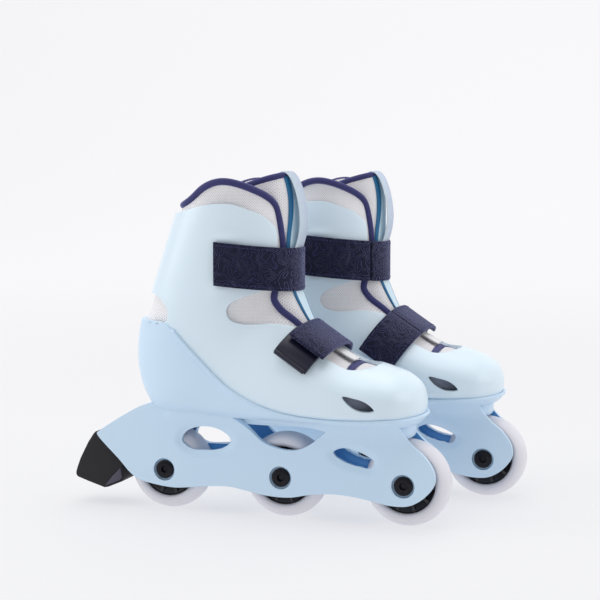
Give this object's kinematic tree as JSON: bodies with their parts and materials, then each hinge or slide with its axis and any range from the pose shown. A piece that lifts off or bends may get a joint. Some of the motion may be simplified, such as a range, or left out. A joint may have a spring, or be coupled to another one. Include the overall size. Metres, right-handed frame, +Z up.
{
  "type": "inline skates",
  "caption": "Pair of children's inline skates: hard boot with soft liner, hook-and-loop straps, wheels in a line under a moulded frame, rubber heel brake on the right one.",
  "frame": {"origin": "on the ground, in the middle of the box around the pair", "axes": "+X towards the toes, +Y to the wearer's left, +Z up; the right skate stands at -Y"},
  "size_m": [0.3124, 0.1948, 0.2462],
  "materials": {
    "shell_plastic": "satin ice-blue moulding",
    "chassis_plastic": "satin ice-blue moulding",
    "liner_mesh": "white padded air mesh",
    "insole_foam": "matt foam with a cloth top",
    "pull_ribbon": "woven pale ribbon",
    "strap_webbing": "navy embossed hook-and-loop webbing",
    "hook_plastic": "near-black hook strip",
    "tape_white": "smooth white tape",
    "brake_rubber": "matt black rubber",
    "black_steel": "black coated steel",
    "tyre_urethane": "white cast urethane, satin",
    "hub_plastic": "black nylon",
    "bearing_steel": "ground bearing steel"
  },
  "bodies": {
    "right_boot": {"right_shell": "shell_plastic", "right_chassis": "chassis_plastic", "right_liner": "liner_mesh", "right_insole": "insole_foam", "right_hook_tab": "hook_plastic", "right_cuff_strap_anchor": "strap_webbing", "right_forefoot_strap_anchor": "strap_webbing", "right_brake_pad": "brake_rubber", "right_brake_screw": "black_steel", "right_rear_axle_bolt": "black_steel", "right_rear_axle_nut": "black_steel", "right_middle_axle_bolt": "black_steel", "right_middle_axle_nut": "black_steel", "right_front_axle_bolt": "black_steel", "right_front_axle_nut": "black_steel"},
    "left_boot": {"left_shell": "shell_plastic", "left_chassis": "chassis_plastic", "left_liner": "liner_mesh", "left_insole": "insole_foam", "left_hook_tab": "hook_plastic", "left_cuff_strap_anchor": "strap_webbing", "left_forefoot_strap_anchor": "strap_webbing", "left_rear_axle_bolt": "black_steel", "left_rear_axle_nut": "black_steel", "left_middle_axle_bolt": "black_steel", "left_middle_axle_nut": "black_steel", "left_front_axle_bolt": "black_steel", "left_front_axle_nut": "black_steel"},
    "right_rear_wheel": {"right_rear_tyre": "tyre_urethane", "right_rear_hub": "hub_plastic", "right_rear_bearings": "bearing_steel"},
    "right_middle_wheel": {"right_middle_tyre": "tyre_urethane", "right_middle_hub": "hub_plastic", "right_middle_bearings": "bearing_steel"},
    "right_front_wheel": {"right_front_tyre": "tyre_urethane", "right_front_hub": "hub_plastic", "right_front_bearings": "bearing_steel"},
    "right_cuff_flap": {"right_cuff_strap": "strap_webbing"},
    "right_forefoot_flap": {"right_forefoot_strap": "strap_webbing"},
    "right_tongue_body": {"right_tongue": "liner_mesh", "right_tongue_pull": "pull_ribbon"},
    "right_size_slider": {"right_liner_toe": "liner_mesh", "right_size_tape": "tape_white"},
    "left_rear_wheel": {"left_rear_tyre": "tyre_urethane", "left_rear_hub": "hub_plastic", "left_rear_bearings": "bearing_steel"},
    "left_middle_wheel": {"left_middle_tyre": "tyre_urethane", "left_middle_hub": "hub_plastic", "left_middle_bearings": "bearing_steel"},
    "left_front_wheel": {"left_front_tyre": "tyre_urethane", "left_front_hub": "hub_plastic", "left_front_bearings": "bearing_steel"},
    "left_cuff_flap": {"left_cuff_strap": "strap_webbing"},
    "left_forefoot_flap": {"left_forefoot_strap": "strap_webbing"},
    "left_tongue_body": {"left_tongue": "liner_mesh", "left_tongue_pull": "pull_ribbon"},
    "left_size_slider": {"left_liner_toe": "liner_mesh", "left_size_tape": "tape_white"}
  },
  "joints": [
    {"name": "right_rear_wheel_spin", "type": "hinge", "parent": "right_boot", "child": "right_rear_wheel", "pos_m": [-0.08445, -0.05335, 0.03], "axis": [0, 1, 0], "continuous": true},
    {"name": "right_middle_wheel_spin", "type": "hinge", "parent": "right_boot", "child": "right_middle_wheel", "pos_m": [0.00375, -0.05335, 0.03], "axis": [0, 1, 0], "continuous": true},
    {"name": "right_front_wheel_spin", "type": "hinge", "parent": "right_boot", "child": "right_front_wheel", "pos_m": [0.09195, -0.05335, 0.03], "axis": [0, 1, 0], "continuous": true},
    {"name": "right_cuff_strap_opening", "type": "hinge", "parent": "right_boot", "child": "right_cuff_flap", "pos_m": [0.0066, -0.0309, 0.1765], "axis": [0, 0, 1], "range_deg": [0, 90]},
    {"name": "right_forefoot_strap_opening", "type": "hinge", "parent": "right_boot", "child": "right_forefoot_flap", "pos_m": [0.03365, -0.03505, 0.1313], "axis": [-0.8321, 0, 0.5547], "range_deg": [0, 120]},
    {"name": "right_tongue_tilt", "type": "hinge", "parent": "right_boot", "child": "right_tongue_body", "pos_m": [0.01875, -0.05335, 0.1425], "axis": [0, 1, 0], "range_deg": [0, 14]},
    {"name": "right_size_slide", "type": "slide", "parent": "right_boot", "child": "right_size_slider", "axis": [1, 0, 0], "range_m": [0, 0.013]},
    {"name": "left_rear_wheel_spin", "type": "hinge", "parent": "left_boot", "child": "left_rear_wheel", "pos_m": [-0.05015, 0.05335, 0.03], "axis": [0, 1, 0], "continuous": true},
    {"name": "left_middle_wheel_spin", "type": "hinge", "parent": "left_boot", "child": "left_middle_wheel", "pos_m": [0.03805, 0.05335, 0.03], "axis": [0, 1, 0], "continuous": true},
    {"name": "left_front_wheel_spin", "type": "hinge", "parent": "left_boot", "child": "left_front_wheel", "pos_m": [0.12625, 0.05335, 0.03], "axis": [0, 1, 0], "continuous": true},
    {"name": "left_cuff_strap_opening", "type": "hinge", "parent": "left_boot", "child": "left_cuff_flap", "pos_m": [0.0409, 0.0309, 0.1765], "axis": [0, 0, -1], "range_deg": [0, 90]},
    {"name": "left_forefoot_strap_opening", "type": "hinge", "parent": "left_boot", "child": "left_forefoot_flap", "pos_m": [0.06795, 0.03505, 0.1313], "axis": [0.8321, 0, -0.5547], "range_deg": [0, 120]},
    {"name": "left_tongue_tilt", "type": "hinge", "parent": "left_boot", "child": "left_tongue_body", "pos_m": [0.05305, 0.05335, 0.1425], "axis": [0, 1, 0], "range_deg": [0, 14]},
    {"name": "left_size_slide", "type": "slide", "parent": "left_boot", "child": "left_size_slider", "axis": [1, 0, 0], "range_m": [0, 0.013]},
    {"name": "pair_stride", "type": "slide", "parent": "right_boot", "child": "left_boot", "axis": [1, 0, 0], "range_m": [-0.15, 0.15]}
  ],
  "couplings": [
    {"joint": "right_tongue_tilt", "follows": "right_cuff_strap_opening", "ratio": 0.14},
    {"joint": "left_tongue_tilt", "follows": "left_cuff_strap_opening", "ratio": 0.14}
  ]
}
